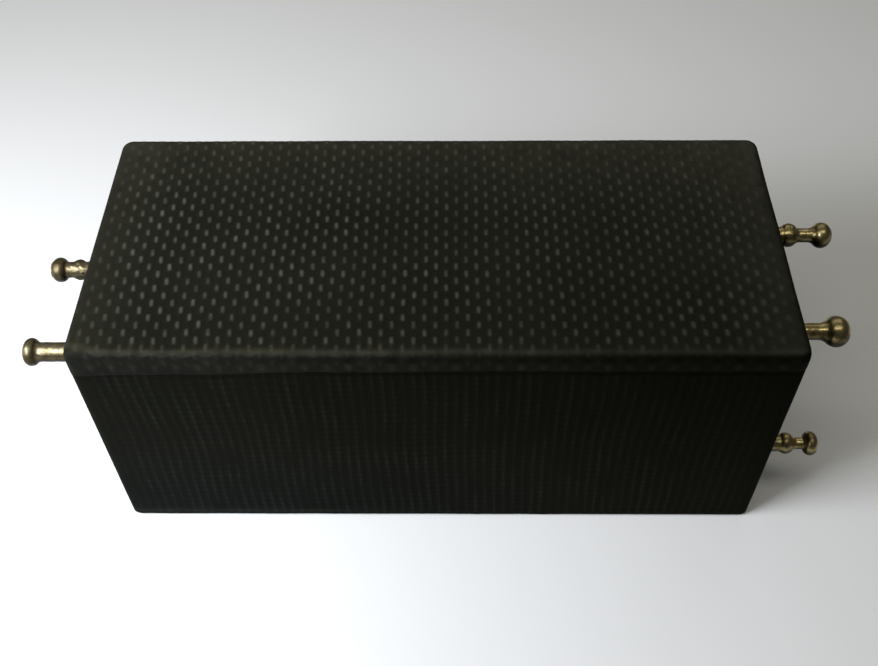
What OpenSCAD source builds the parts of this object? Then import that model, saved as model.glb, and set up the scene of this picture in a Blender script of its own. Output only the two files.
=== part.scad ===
// High voltage mica capacitor. Four mica sections stand in a row, joined in series, and every
// junction comes out at a turned terminal on one of the two ends. Cast resin fills the block and
// holds the terminals. A glass cloth, wound round the long axis, is its outer wall.
// X runs along the block, the front faces -Y, and the block rests on Z = 0. Sizes are in mm.

/* [Block] */
// Length of the block between its cut ends
block_l = 88.9; // [80:0.1:130]
// Depth of the block, front to back, over the lap
block_d = 38.6; // [34:0.1:60]
// Height of the block
block_h = 38.3; // [36:0.1:60]
// Rounding of the four long edges
edge_r = 0.8; // [0.8:0.1:2]
// Rounding of the edges at the cut ends
end_r = 1.2; // [0.3:0.1:1.4]

/* [Cloth wrap] */
// Wall of the wound cloth
wrap_t = 1.5; // [1.2:0.1:2.5]
// Thickness of one turn, which is the step at the lap
ply_t = 0.3; // [0.15:0.05:0.5]
// Height of the lap on the front, at the left end
lap_left = 4.5; // [3:0.1:10]
// Height of the lap on the front, at the right end
lap_right = 3.3; // [3:0.1:10]

/* [Weave] */
// Spacing of the yarns that run round the block
yarn_pitch = 1.29; // [1:0.01:2.5]
// Width of a yarn where it shows as a ridge
yarn_w = 0.7; // [0.4:0.05:0.9]
// Spacing of the yarns that run along the block
pick_pitch = 1.19; // [1:0.01:2.5]
// Height of the yarns above the resin between them
crown_h = 0.1; // [0.05:0.01:0.2]
// Height of a yarn where it passes under a crossing one
under_h = 0.02; // [0.01:0.01:0.04]
// Smooth border around each woven face
weave_border = 1.4; // [1:0.1:3]

/* [Resin] */
// Depth of the resin below the cut ends of the wrap
fill_recess = 0.4; // [0.1:0.1:1.5]
// Resin above and below the mica sections
cover_h = 4; // [2:0.1:6]
// Resin in front of and behind the copper ribbons
cover_d = 1; // [0.5:0.1:2]
// Room between each cut end and the nearest mica section
end_room = 14.5; // [12:0.1:20]

/* [Mica sections] */
// Gap between two sections
section_gap = 2.5; // [1:0.1:5]
// Length over which the foils are gathered, front and rear
gather_l = 4; // [2:0.1:6]
// Thickness of the gathered foils
gather_t = 3; // [1.5:0.1:5]

/* [Links and leads] */
// Thickness of a series link
link_t = 0.5; // [0.3:0.1:0.8]
// Height of a series link
link_h = 24; // [20:0.5:26]
// Margin of a series link, below the top of the sections at the rear and above their bottom at the front
link_inset = 1.55; // [0.5:0.05:1.7]
// Thickness of a lead ribbon
ribbon_t = 0.4; // [0.2:0.1:0.8]
// Width of a lead ribbon
ribbon_w = 3; // [2:0.1:4]

/* [Terminals] */
// Diameter of the barrel below a collar
barrel_d = 2.35; // [2:0.05:2.7]
// Diameter of the base flange
flange_d = 3.6; // [3:0.05:5]
// Thickness of the base flange
flange_t = 0.5; // [0.3:0.05:1]
// Diameter of the potted shank
shank_d = 2.2; // [1.6:0.05:2.8]
// Length of the potted shank
shank_l = 4.5; // [3:0.1:7]
// Fillet where a barrel or neck meets the flange or a collar
waist_fillet = 0.25; // [0.1:0.05:0.3]
// Depth of the upper terminals below the top
upper_drop = 8.6; // [7:0.1:12]

/* [Left front terminal] */
// Diameter of the head
left_front_head_d = 3.7; // [3:0.05:5]
// Length of the head
left_front_head_l = 1.7; // [1.4:0.05:2.9]
// Middle of the head, from the resin
left_front_head_at = 8; // [7.5:0.05:10]
// Fillet under the head
left_front_flare = 0.75; // [0.1:0.05:1]
// Diameter of the plain barrel
left_front_barrel_d = 2.6; // [2:0.05:2.8]
// Distance from the front face
left_front_inset = 7.2; // [5:0.1:10]

/* [Left rear terminal] */
// Diameter of the head
left_rear_head_d = 3.45; // [3:0.05:5]
// Length of the head
left_rear_head_l = 2.05; // [1.6:0.05:2.9]
// Middle of the head, from the resin
left_rear_head_at = 7.6; // [7.3:0.05:10]
// Fillet under the head
left_rear_flare = 0.2; // [0.1:0.05:1]
// Diameter of the wire neck
left_rear_neck_d = 2.3; // [1.4:0.05:2.5]
// Diameter of the collar
left_rear_collar_d = 3; // [2.8:0.05:4.5]
// Length of the collar
left_rear_collar_l = 2.1; // [1:0.05:2.5]
// Middle of the collar, from the resin
left_rear_collar_at = 4.95; // [2.5:0.05:5.3]
// Distance from the rear face
left_rear_inset = 17.1; // [6:0.1:20]

/* [Right front terminal] */
// Diameter of the head
right_front_head_d = 4.15; // [3.9:0.05:5]
// Length of the head
right_front_head_l = 3.3; // [1.6:0.05:4]
// Middle of the head, from the resin
right_front_head_at = 7.5; // [7.2:0.05:10]
// Fillet under the head
right_front_flare = 0.95; // [0.1:0.05:1.2]
// Diameter of the plain barrel
right_front_barrel_d = 2.25; // [2:0.05:2.8]
// Distance from the front face
right_front_inset = 10.6; // [5:0.1:12]

/* [Right rear terminal] */
// Diameter of the head
right_rear_head_d = 3.55; // [3:0.05:5]
// Length of the head
right_rear_head_l = 2.45; // [1.6:0.05:2.9]
// Middle of the head, from the resin
right_rear_head_at = 7.9; // [7.5:0.05:10]
// Fillet under the head
right_rear_flare = 1; // [0.1:0.05:1.2]
// Diameter of the wire neck
right_rear_neck_d = 1.95; // [1.4:0.05:2.5]
// Diameter of the collar
right_rear_collar_d = 3.35; // [2.8:0.05:4.5]
// Length of the collar
right_rear_collar_l = 2.4; // [1:0.05:2.6]
// Middle of the collar, from the resin
right_rear_collar_at = 3.55; // [2.5:0.05:5.3]
// Distance from the rear face
right_rear_inset = 13.4; // [6:0.1:16]
// Depth below the top
right_rear_drop = 5.8; // [5:0.1:12]

/* [Right low terminal] */
// Diameter of the head
right_low_head_d = 3.45; // [3:0.05:5]
// Length of the head
right_low_head_l = 1.8; // [1.4:0.05:2.9]
// Middle of the head, from the resin
right_low_head_at = 7.85; // [7.5:0.05:10]
// Fillet under the head
right_low_flare = 0.4; // [0.1:0.05:1]
// Diameter of the wire neck
right_low_neck_d = 1.7; // [1.4:0.05:2.5]
// Diameter of the collar
right_low_collar_d = 3.15; // [2.8:0.05:4.5]
// Length of the collar
right_low_collar_l = 2.15; // [1:0.05:2.5]
// Middle of the collar, from the resin
right_low_collar_at = 4.5; // [2.5:0.05:5.3]
// Distance from the front face
right_low_inset = 5.7; // [4.5:0.1:12]
// Height above the bottom
low_rise = 11; // [8:0.1:20]

/* [Hidden] */
$fn = 48;
// Overlap of shapes that are joined or cut
eps = 0.05;

half_l = block_l / 2;
half_d = block_d / 2;
front_y = -half_d + ply_t;
face_x = half_l - fill_recess;
fill_d = block_d - ply_t - 2 * wrap_t;
fill_h = block_h - 2 * wrap_t;

// Woven fields: whole yarns, centred between the borders
yarn_n = floor((block_l - 2 * weave_border) / yarn_pitch);
pick_n = floor((block_d - 2 * (edge_r + weave_border)) / pick_pitch);
yarn_x0 = -yarn_n * yarn_pitch / 2;
pick_y0 = -pick_n * pick_pitch / 2;
yarn_root = yarn_w + 2 * crown_h;
ridge_z0 = edge_r + weave_border;
ridge_h = block_h - edge_r - weave_border - ridge_z0;

section_n = 4;
section_t = (block_l - 2 * end_room - (section_n - 1) * section_gap) / section_n;
section_step = section_t + section_gap;
section_h = fill_h - 2 * cover_h;
section_z = (block_h - section_h) / 2;
// Rear links hang level with the upper terminals, and the front one stands level with the low terminal
link_rear_z = section_z + section_h - link_inset - link_h;
link_front_z = section_z + link_inset;
// Outer faces of the gathered foils, then of the links on them
gather_front = front_y + wrap_t + cover_d + ribbon_t + link_t;
gather_rear = half_d - wrap_t - cover_d - ribbon_t - link_t;
link_front = gather_front - link_t;
link_rear = gather_rear + link_t;

upper_z = block_h - upper_drop;
right_rear_z = block_h - right_rear_drop;
left_front_y = -half_d + left_front_inset;
left_rear_y = half_d - left_rear_inset;
right_front_y = -half_d + right_front_inset;
right_rear_y = half_d - right_rear_inset;
right_low_y = -half_d + right_low_inset;

LEFT = -1;
RIGHT = 1;

// A rectangle with round corners, centred
module rounded_rect(w, h, r) {
    square([w - 2 * r, h], center = true);
    square([w, h - 2 * r], center = true);
    for (x = [-1, 1], y = [-1, 1])
        translate([x * (w / 2 - r), y * (h / 2 - r)])
            circle(r = r);
}

// Stands a profile drawn in Y and Z along X
module along_x(length) {
    rotate([90, 0, 90])
        linear_extrude(height = length, center = true)
            children();
}

// The block's outside from one front face to the rear, with round long edges and round cut ends
module block_outside(front) {
    depth = half_d - front;
    middle = (half_d + front) / 2;
    intersection() {
        translate([0, middle, block_h / 2])
            along_x(block_l)
                rounded_rect(depth, block_h, edge_r);
        translate([0, middle, 0])
            linear_extrude(height = block_h)
                rounded_rect(block_l, depth, end_r);
        translate([0, middle, block_h / 2])
            rotate([90, 0, 0])
                linear_extrude(height = depth, center = true)
                    rounded_rect(block_l, block_h, end_r);
    }
}

// The last turn of cloth, over the top of the front, with its slanted cut edge
module lap() {
    intersection() {
        block_outside(-half_d);
        rotate([90, 0, 0])
            linear_extrude(height = block_d)
                polygon([
                    [-half_l - eps, block_h - lap_left],
                    [half_l + eps, block_h - lap_right],
                    [half_l + eps, block_h + eps],
                    [-half_l - eps, block_h + eps]
                ]);
    }
}

// One yarn that stands out as a straight ridge, its flanks sloped down to the resin
module ridge_profile() {
    polygon([
        [-yarn_root / 2, -eps],
        [yarn_root / 2, -eps],
        [yarn_w / 2, crown_h],
        [-yarn_w / 2, crown_h]
    ]);
}

// The ridges of a front or rear face, standing out towards +Y before they are placed
module ridges() {
    for (i = [0:yarn_n])
        translate([yarn_x0 + i * yarn_pitch, 0, ridge_z0])
            linear_extrude(height = ridge_h)
                ridge_profile();
}

// Height of one yarn of the top at one crossing: it lies over every second pick and under the next
function crossing_h(i, j) = (i + j) % 2 == 0 ? crown_h : under_h;

// The plain weave of the top: each yarn runs front to back, a step out of time with its neighbours
module woven_top() {
    for (i = [0:yarn_n])
        translate([yarn_x0 + i * yarn_pitch, 0, block_h])
            along_x(yarn_w)
                polygon(concat(
                    [[pick_y0, -eps]],
                    [for (j = [0:pick_n]) [pick_y0 + j * pick_pitch, crossing_h(i, j)]],
                    [[pick_y0 + pick_n * pick_pitch, -eps]]));
}

module cloth_wrap() {
    color("#2b2b27") {
        difference() {
            union() {
                block_outside(front_y);
                lap();
            }
            translate([0, (front_y + half_d) / 2, block_h / 2])
                cube([block_l + 2 * eps, fill_d, fill_h], center = true);
        }
        woven_top();
        translate([0, half_d, 0])
            ridges();
        translate([0, front_y, 0])
            mirror([0, 1, 0])
                ridges();
    }
}

// Half section of a turned bead with a half-round rim, its size given as [diameter, length, middle]
module bead(size) {
    rim = size[1] / 2;
    core = size[0] / 2 - rim;
    translate([0, size[2]])
        intersection() {
            union() {
                translate([0, -rim])
                    square([core, size[1]]);
                translate([core, 0])
                    circle(r = rim);
            }
            translate([0, -size[1]])
                square([size[0], 2 * size[1]]);
        }
}

// Half section of the fillet between a waist and one side of a bead: side is -1 below it and 1 above it
module bead_fillet(size, waist_d, r, side) {
    rim = size[1] / 2;
    core = size[0] / 2 - rim;
    middle = waist_d / 2 + r;
    at = size[2] + side * sqrt(pow(rim + r, 2) - pow(middle - core, 2));
    difference() {
        polygon(side < 0
            ? [[0, at], [middle, at], [core, size[2]], [0, size[2]]]
            : [[0, size[2]], [core, size[2]], [middle, at], [0, at]]);
        translate([middle, at])
            circle(r = r);
    }
}

// Half section of the foot of a barrel, filleted on the flange
module foot(d) {
    square([flange_d / 2, flange_t]);
    translate([0, flange_t])
        difference() {
            square([d / 2 + waist_fillet, waist_fillet]);
            translate([d / 2 + waist_fillet, waist_fillet])
                circle(r = waist_fillet);
        }
}

// One turned terminal along +Z, its flange seated on Z = 0 and its shank below
module terminal(head, flare, neck_d, collar = []) {
    collared = len(collar) > 0;
    foot_d = collared ? barrel_d : neck_d;
    rotate_extrude()
        union() {
            translate([0, -shank_l])
                square([shank_d / 2, shank_l + eps]);
            foot(foot_d);
            square([foot_d / 2, collared ? collar[2] : head[2]]);
            if (collared) {
                bead(collar);
                bead_fillet(collar, foot_d, waist_fillet, -1);
                bead_fillet(collar, neck_d, waist_fillet, 1);
                translate([0, collar[2]])
                    square([neck_d / 2, head[2] - collar[2]]);
            }
            bead(head);
            bead_fillet(head, neck_d, flare, -1);
        }
}

// Turns a terminal to stand out of the left or the right end
module place_terminal(end, y, z) {
    translate([end * face_x, y, z])
        rotate([0, end * 90, 0])
            children();
}

function section_x(i) = (i - (section_n + 1) / 2) * section_step;

// A pressed stack of mica and foil, its foils gathered to a narrow edge at the front and the rear
module mica_section(i) {
    color("#b9a97c")
        translate([section_x(i), 0, section_z])
            linear_extrude(height = section_h)
                polygon([
                    [-section_t / 2, gather_front + gather_l],
                    [-gather_t / 2, gather_front],
                    [gather_t / 2, gather_front],
                    [section_t / 2, gather_front + gather_l],
                    [section_t / 2, gather_rear - gather_l],
                    [gather_t / 2, gather_rear],
                    [-gather_t / 2, gather_rear],
                    [-section_t / 2, gather_rear - gather_l]
                ]);
}

// A strap across the gathered foils of one section and the next
module series_link(i, y, z) {
    length = section_step + gather_t;
    color("#b87346")
        translate([section_x(i) - gather_t / 2, y, z])
            cube([length, link_t, link_h]);
}

// A ribbon that lies flat on a junction, runs to the end of the block and turns in behind a shank
module lead(end, i, wall_y, y, z) {
    inner_x = face_x - shank_l - ribbon_t;
    start_x = end * section_x(i) - gather_t / 2;
    rear = wall_y > 0;
    reach = abs(y - wall_y) + ribbon_w / 2;
    color("#c98a5a")
        translate([0, 0, z - ribbon_w / 2])
            mirror([end == LEFT ? 1 : 0, 0, 0])
                linear_extrude(height = ribbon_w)
                    union() {
                        translate([start_x, rear ? wall_y : wall_y - ribbon_t])
                            square([inner_x + ribbon_t - start_x, ribbon_t]);
                        translate([inner_x, rear ? wall_y - reach : wall_y - eps])
                            square([ribbon_t, reach + eps]);
                    }
}

module terminal_left_front() {
    color("#b59a55")
        place_terminal(LEFT, left_front_y, upper_z)
            terminal(
                [left_front_head_d, left_front_head_l, left_front_head_at],
                left_front_flare, left_front_barrel_d);
}

module terminal_left_rear() {
    color("#b59a55")
        place_terminal(LEFT, left_rear_y, upper_z)
            terminal(
                [left_rear_head_d, left_rear_head_l, left_rear_head_at],
                left_rear_flare, left_rear_neck_d,
                [left_rear_collar_d, left_rear_collar_l, left_rear_collar_at]);
}

module terminal_right_front() {
    color("#b59a55")
        place_terminal(RIGHT, right_front_y, upper_z)
            terminal(
                [right_front_head_d, right_front_head_l, right_front_head_at],
                right_front_flare, right_front_barrel_d);
}

module terminal_right_rear() {
    color("#b59a55")
        place_terminal(RIGHT, right_rear_y, right_rear_z)
            terminal(
                [right_rear_head_d, right_rear_head_l, right_rear_head_at],
                right_rear_flare, right_rear_neck_d,
                [right_rear_collar_d, right_rear_collar_l, right_rear_collar_at]);
}

module terminal_right_low() {
    color("#b59a55")
        place_terminal(RIGHT, right_low_y, low_rise)
            terminal(
                [right_low_head_d, right_low_head_l, right_low_head_at],
                right_low_flare, right_low_neck_d,
                [right_low_collar_d, right_low_collar_l, right_low_collar_at]);
}

module mica_section_1() { mica_section(1); }
module mica_section_2() { mica_section(2); }
module mica_section_3() { mica_section(3); }
module mica_section_4() { mica_section(4); }

module series_link_1() { series_link(1, gather_rear, link_rear_z); }
module series_link_2() { series_link(2, link_front, link_front_z); }
module series_link_3() { series_link(3, gather_rear, link_rear_z); }

module lead_left_front() { lead(LEFT, 1, gather_front, left_front_y, upper_z); }
module lead_left_rear() { lead(LEFT, 1, link_rear, left_rear_y, upper_z); }
module lead_right_front() { lead(RIGHT, 4, gather_front, right_front_y, upper_z); }
module lead_right_rear() { lead(RIGHT, 4, link_rear, right_rear_y, right_rear_z); }
module lead_right_low() { lead(RIGHT, 3, link_front, right_low_y, low_rise); }

// The cast resin takes the shape of everything inside it
module resin_fill() {
    color("#1c1c1a")
        difference() {
            translate([0, (front_y + half_d) / 2, block_h / 2])
                cube([2 * face_x, fill_d, fill_h], center = true);
            terminal_left_front();
            terminal_left_rear();
            terminal_right_front();
            terminal_right_rear();
            terminal_right_low();
            for (i = [1:section_n])
                mica_section(i);
            series_link_1();
            series_link_2();
            series_link_3();
            lead_left_front();
            lead_left_rear();
            lead_right_front();
            lead_right_rear();
            lead_right_low();
        }
}

cloth_wrap();
resin_fill();
terminal_left_front();
terminal_left_rear();
terminal_right_front();
terminal_right_rear();
terminal_right_low();
mica_section_1();
mica_section_2();
mica_section_3();
mica_section_4();
series_link_1();
series_link_2();
series_link_3();
lead_left_front();
lead_left_rear();
lead_right_front();
lead_right_rear();
lead_right_low();
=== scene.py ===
# %% [markdown]
# # A potted mica capacitor in a glass-cloth wrap
# The object is a black block with five turned brass terminals. The CAD model is loaded as a fixed frame, and
# every piece here is measured from it. The wrap is modelled again with its woven relief, and the terminals
# with their dents and worn collars, because that is what the eye sees first. The resin and the pieces inside
# keep their CAD solids, which already have the right form, and only get a finish.

import math

import bmesh
import bpy
from mathutils import Matrix, Vector, noise


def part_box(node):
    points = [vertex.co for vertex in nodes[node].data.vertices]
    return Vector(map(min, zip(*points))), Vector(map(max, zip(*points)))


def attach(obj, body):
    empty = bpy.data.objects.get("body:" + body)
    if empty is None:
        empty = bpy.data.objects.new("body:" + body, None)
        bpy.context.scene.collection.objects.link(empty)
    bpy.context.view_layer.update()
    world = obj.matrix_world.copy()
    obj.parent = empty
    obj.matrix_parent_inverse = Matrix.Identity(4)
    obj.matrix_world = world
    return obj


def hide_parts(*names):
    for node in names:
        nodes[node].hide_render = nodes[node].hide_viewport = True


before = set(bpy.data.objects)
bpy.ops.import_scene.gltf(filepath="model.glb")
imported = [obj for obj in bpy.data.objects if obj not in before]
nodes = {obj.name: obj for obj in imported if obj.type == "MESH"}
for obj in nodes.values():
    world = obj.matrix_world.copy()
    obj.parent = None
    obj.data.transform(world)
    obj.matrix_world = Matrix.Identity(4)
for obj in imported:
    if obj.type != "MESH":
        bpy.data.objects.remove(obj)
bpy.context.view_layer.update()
MM = 0.001
print("CAD nodes:", ", ".join(sorted(nodes)))

# %% [markdown]
# ## Camera
# The photograph looks down on the block from the front. The block's outline in it gave the camera: how far it
# tips down, its small turn and roll, its place, and its focal length in pixels. A camera looks along its own
# -Z axis, so it is tipped up from straight down and then turned. The roll comes first, because it is about
# the view axis itself.

# %% Camera
CAMERA_AT = Vector((2.03, -96.0, 136.49)) * MM
TIPPED_DOWN = 50.81
TURNED_RIGHT = -1.19
ROLLED = -0.92
FOCAL_PIXELS = 1061.9
PHOTO_WIDTH_PIXELS = 878

camera_data = bpy.data.cameras.new("camera")
camera_data.sensor_fit = "HORIZONTAL"
camera_data.lens = FOCAL_PIXELS / PHOTO_WIDTH_PIXELS * camera_data.sensor_width
camera_data.clip_start = 5 * MM
camera = bpy.data.objects.new("camera", camera_data)
roll = Matrix.Rotation(math.radians(ROLLED), 4, "Z")
tip = Matrix.Rotation(math.radians(90 - TIPPED_DOWN), 4, "X")
turn = Matrix.Rotation(math.radians(-TURNED_RIGHT), 4, "Z")
camera.matrix_world = Matrix.Translation(CAMERA_AT) @ turn @ tip @ roll
scene = bpy.context.scene
scene.collection.objects.link(camera)
scene.camera = camera
scene.view_settings.view_transform = "Standard"
print("Lens:", round(camera_data.lens, 2), "mm")

# %% [markdown]
# ## Colours and nodes
# Colours are written as sRGB hex values, as a colour picker shows them, and Blender wants linear light. One
# function turns them. Another adds a node, sets its properties and fills its inputs: a node or socket is
# linked, and anything else is the input's value. A Mix node has sockets for each kind of data: 2 and 3 take
# the two numbers, 6 and 7 the two colours.

# %% Colour and node helpers
def linear(hex_colour):
    """An sRGB hex colour as linear red, green, blue and alpha."""
    channels = [int(hex_colour[at:at + 2], 16) / 255 for at in (1, 3, 5)]
    return [c / 12.92 if c <= 0.04045 else ((c + 0.055) / 1.055) ** 2.4 for c in channels] + [1.0]


def add(tree, kind, inputs, **settings):
    """Add a shader node with its settings and links."""
    node = tree.nodes.new("ShaderNode" + kind)
    for name, value in settings.items():
        setattr(node, name, value)
    for key, value in inputs.items():
        if isinstance(value, bpy.types.Node):
            value = value.outputs[0]
        if isinstance(value, bpy.types.NodeSocket):
            tree.links.new(value, node.inputs[key])
        else:
            node.inputs[key].default_value = value
    return node


def new_material(name):
    """A material with a Principled shader: the material, its node tree and the shader."""
    material = bpy.data.materials.new(name)
    material.use_nodes = True
    return material, material.node_tree, material.node_tree.nodes["Principled BSDF"]


print("Mid grey #808080 is", round(linear("#808080")[0], 3), "in linear light")

# %% [markdown]
# ## Floor
# The floor is a plain sheet of pale paper under the block. A grid with one square is enough, since nothing on
# it has a shape.

# %% Floor
FLOOR_HALF = 2.0

floor_mesh = bpy.data.meshes.new("floor")
bm = bmesh.new()
bmesh.ops.create_grid(bm, x_segments=1, y_segments=1, size=FLOOR_HALF)
bm.to_mesh(floor_mesh)
bm.free()
floor = bpy.data.objects.new("floor", floor_mesh)
scene.collection.objects.link(floor)
# Uncoated paper scatters light and hardly shines, so the floor is one soft tone.
paper, paper_tree, paper_shader = new_material("matte_white_paper")
paper_shader.inputs["Base Color"].default_value = linear("#F3F2EF")
paper_shader.inputs["Roughness"].default_value = 0.9
paper_shader.inputs["Specular IOR Level"].default_value = 0.1
floor_mesh.materials.append(paper)
print("Floor:", 2 * FLOOR_HALF, "m square")

# %% [markdown]
# ## Light
# The photograph is brighter and a little cooler at the left, and the streaks on the barrels lie a little
# above their middles. So a long panel hangs high over the front, a smaller one stands close at the left, and
# a far card at the left gives the metal something to mirror. A wide dim panel fills the rear. There is almost
# no sky, so the front of the block is lit mostly by what the floor throws back.

# %% Light
SKY_STRENGTH = 0.06
PANELS = {
    "long_panel": {"at": (0, -80, 420), "aim": (0, -10, 20), "size": (420, 90),
                   "watts": 0.345, "tint": "#FFFEF4"},
    "left_panel": {"at": (-110, -62, 125), "aim": (-45, -5, 30), "size": (100, 60),
                   "watts": 0.365, "tint": "#F0F5FF"},
    "left_card": {"at": (-260, -20, 80), "aim": (-50, -5, 30), "size": (160, 120),
                  "watts": 0.06, "tint": "#FFFFFF"},
    "rear_panel": {"at": (0, 260, 300), "aim": (0, 0, 20), "size": (500, 250),
                   "watts": 0.193, "tint": "#FFFEF4"},
}
for name, made in PANELS.items():
    panel_data = bpy.data.lights.new(name, "AREA")
    panel_data.shape = "RECTANGLE"
    panel_data.size = made["size"][0] * MM
    panel_data.size_y = made["size"][1] * MM
    panel_data.energy = made["watts"]
    panel_data.color = linear(made["tint"])[:3]
    panel = bpy.data.objects.new(name, panel_data)
    panel.location = Vector(made["at"]) * MM
    aim = Vector(made["aim"]) - Vector(made["at"])
    panel.rotation_euler = aim.to_track_quat("-Z", "Y").to_euler()
    scene.collection.objects.link(panel)
    print(name, "at", made["at"], "mm,", made["watts"], "W")

world = bpy.data.worlds.new("even_sky")
world.use_nodes = True
sky = world.node_tree.nodes["Background"]
sky.inputs["Color"].default_value = linear("#FFFFFF")
sky.inputs["Strength"].default_value = SKY_STRENGTH
scene.world = world

# %% [markdown]
# ## Sizes of the cloth
# The wrap's box in the CAD model gives the block, and the number of yarns each way gives their pitch. The
# core is what is left of the box inside its rounded edges. Measuring it here keeps the block on the frame.

# %% Sizes of the block and its cloth
CROWN = 0.1 * MM
EDGE_ROUND = 0.8 * MM
END_ROUND = 1.2 * MM
WALL = 1.5 * MM
YARNS = 67
PICKS = 31

wrap_low, wrap_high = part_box("cloth_wrap")
block_low = wrap_low.copy()
block_high = wrap_high - Vector((0, CROWN, CROWN))
block_middle = (block_low + block_high) / 2
block_size = block_high - block_low
rounding = Vector((END_ROUND, EDGE_ROUND, EDGE_ROUND))
core_low = block_low + rounding
core_high = block_high - rounding
core_size = core_high - core_low
yarn_pitch = core_size.x / YARNS
pick_pitch = core_size.y / PICKS
print("Yarns every", round(yarn_pitch / MM, 3), "mm, picks every", round(pick_pitch / MM, 3), "mm")

# %% [markdown]
# ## The wrap's block
# The wrap is glass cloth wound round the long axis, so it is a square tube with rounded edges and cut ends. A
# cube gets its edges bevelled, its ends opened, and its long and cross edges subdivided until each yarn has
# five rings along the length and each crossing on top has four rows. That is fine enough for the weave to be
# real geometry. A displacement modifier could do it too, but then the lap's edge wouldn't follow a row of
# vertices. The ends are rounder than the edges, so the cube is bevelled while it is short and then stretched.

# %% Block, rounded and cut fine
BEVEL_SEGMENTS = 6
END_FACING = 0.999
LONG_SHARE = 0.9
RINGS_PER_YARN = 5
ROWS_PER_PICK = 4
FRONT_ROWS = 64
REAR_ROWS = 36
BOTTOM_ROWS = 12


def edges_along(bm, axis, keep):
    """The long edges that run along one axis and whose middle passes a test."""
    chosen = []
    for edge in bm.edges:
        start, end = edge.verts
        line = end.co - start.co
        if abs(line[axis]) > LONG_SHARE * core_size[axis] and keep((start.co + end.co) / 2):
            chosen.append(edge)
    return chosen


bm = bmesh.new()
stretch = Vector((END_ROUND / EDGE_ROUND, 1, 1))
squeezed = Vector((block_size.x / stretch.x, block_size.y, block_size.z))
bmesh.ops.create_cube(bm, size=1, matrix=Matrix.LocRotScale(block_middle, None, squeezed))
bmesh.ops.bevel(bm, geom=bm.edges[:], offset=EDGE_ROUND, offset_type="OFFSET", segments=BEVEL_SEGMENTS,
                profile=0.5, affect="EDGES", material=-1)
bmesh.ops.scale(bm, verts=bm.verts[:], vec=stretch)
bm.normal_update()
ends = [face for face in bm.faces if abs(face.normal.x) > END_FACING]
bmesh.ops.delete(bm, geom=ends, context="FACES_ONLY")
cuts = [
    (0, lambda middle: True, YARNS * RINGS_PER_YARN),
    (1, lambda middle: middle.z > block_middle.z, PICKS * ROWS_PER_PICK),
    (1, lambda middle: middle.z < block_middle.z, BOTTOM_ROWS),
    (2, lambda middle: middle.y < block_middle.y, FRONT_ROWS),
    (2, lambda middle: middle.y > block_middle.y, REAR_ROWS),
]
for axis, keep, parts in cuts:
    bmesh.ops.subdivide_edges(bm, edges=edges_along(bm, axis, keep), cuts=parts - 1, use_grid_fill=True)
print("Block:", len(bm.verts), "vertices")

# %% [markdown]
# ## The way round the block
# The pattern has to follow the cloth over the edges, so each vertex needs to know how far round the girth it
# is. The nearest point of a smaller core box gives the direction straight out of the surface, and the angle
# of that direction gives the way round an edge. The bottom counts on from a width further, so none of its
# rows runs on from a side.

# %% Outward and round
FACING_DOWN = -0.99
BOTTOM_STARTS = 1.5


def smoothstep(start, end, value):
    """0 at start, 1 at end, and an easy curve between. It may run downwards."""
    t = min(max((value - start) / (end - start), 0), 1)
    return t * t * (3 - 2 * t)


def outward(place):
    """The direction straight out of the rounded block at a place on its surface, and the core's place."""
    core = Vector([min(max(place[i], core_low[i]), core_high[i]) for i in range(3)])
    away = place - core
    return Vector([away[i] / rounding[i] for i in range(3)]).normalized(), core


def girth(out, core):
    """The way round the block from the middle of the top, towards the front, in metres."""
    angle = math.atan2(-out.y, out.z)
    if out.z < FACING_DOWN:
        return core_size.y * BOTTOM_STARTS + core_size.z + EDGE_ROUND * math.pi + core.y - core_low.y
    side = math.copysign(1, angle)
    return -core.y + EDGE_ROUND * angle + side * (core_high.z - core.z)


front_edge = girth(Vector((0, 0, 1)), Vector((0, core_low.y, core_high.z)))
print("Girth of the top's front edge:", round(front_edge / MM, 2), "mm from the middle")

# %% [markdown]
# ## Where the weave shows
# Resin has filled the weave near the ends, at the rear, along the front edge and towards the right, so it
# fades there, and it shows in patches elsewhere. On the upright sides it shows in streaks along the yarns.
# Noise that is read at the vertex's own place gives the patches, so they are the same in each run.

# %% Weave that fades
ENDS_CLEAR = (-1.5 * MM, 6 * MM)
RIGHT_FILLS = (-32 * MM, 12 * MM)
RIGHT_FILLED = 0.35
REAR_CLEARS = (0, 16 * MM)
REAR_FILLED = 0.4
FRONT_CLEARS = (0.4 * MM, 2.4 * MM)
FRONT_FILLED = 0.65
PATCH_SIZE = 6 * MM
STREAK_WIDE = 2.5 * MM
STREAK_LONG = 6 * MM


def weave_shows(place, upright):
    """How plainly the weave shows: 1 in the open cloth and less where resin has filled it."""
    from_end = block_size.x / 2 - abs(place.x)
    from_rear = block_high.y - place.y
    from_front = place.y - block_low.y
    ends = smoothstep(*ENDS_CLEAR, from_end)
    filled = 1 - RIGHT_FILLED * smoothstep(*RIGHT_FILLS, place.x)
    rear = (1 - REAR_FILLED) + REAR_FILLED * smoothstep(*REAR_CLEARS, from_rear)
    front = (1 - FRONT_FILLED) + FRONT_FILLED * smoothstep(*FRONT_CLEARS, from_front)
    patches = 0.9 + 0.4 * noise.noise(place / PATCH_SIZE)
    streaks = 0.8 + 0.9 * noise.noise(Vector((place.x / STREAK_WIDE, 0, place.z / STREAK_LONG)))
    on_top = ends * rear * front * patches * filled
    on_side = ends * streaks
    return max(on_top * (1 - upright) + on_side * upright, 0)


print("Weave at the middle of the top:", round(weave_shows(Vector((0, 0, block_high.z)), 0), 2))

# %% [markdown]
# ## Lap
# The cloth's last turn ends on the front in a ragged lap, lower at the left than at the right. A boolean cut
# would leave a straight step. Here the rows of vertices on the front slide so that one of them lies on the
# lap's edge, and everything below it goes back by one ply. The edge sways slowly and frays finely.

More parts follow.
